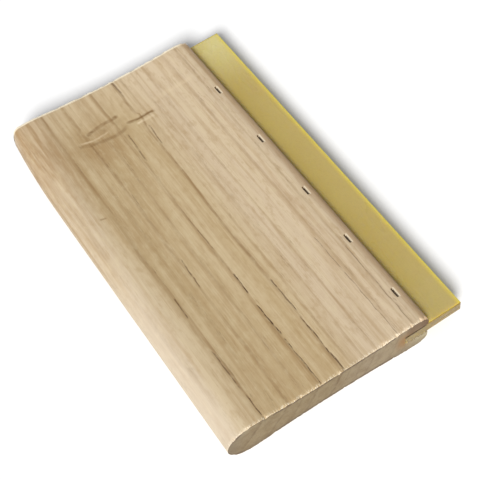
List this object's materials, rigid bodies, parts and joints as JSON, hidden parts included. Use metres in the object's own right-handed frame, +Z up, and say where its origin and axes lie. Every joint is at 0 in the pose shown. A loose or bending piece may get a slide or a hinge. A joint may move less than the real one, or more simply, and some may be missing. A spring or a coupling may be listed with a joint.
{
  "type": "squeegee applicator",
  "caption": "Hand squeegee with a shaped wooden handle whose slotted front edge holds a flexible polyurethane blade, pinned through the slot by a row of staples.",
  "frame": {"origin": "middle of the footprint, on the surface that the squeegee lies on", "axes": "+X along the length; +Y across, from the rounded grip to the blade's working edge; +Z up, square to the broad face"},
  "size_m": [0.24, 0.1468, 0.024],
  "materials": {
    "wood": "bare planed wood, sawn ends",
    "blade": "smooth, slightly translucent polyurethane",
    "staple": "galvanised wire"
  },
  "bodies": {
    "handle": {"handle": "wood", "blade_root": "blade", "staple_1": "staple", "staple_2": "staple", "staple_3": "staple", "staple_4": "staple", "staple_5": "staple"},
    "blade": {"blade_lip": "blade"}
  },
  "joints": [
    {"name": "blade_flex", "type": "hinge", "parent": "handle", "child": "blade", "pos_m": [0, 0.05498, 0.01246], "axis": [1, 0, 0], "range_deg": [-15, 15], "stiffness_Nm_per_rad": 3.9}
  ]
}
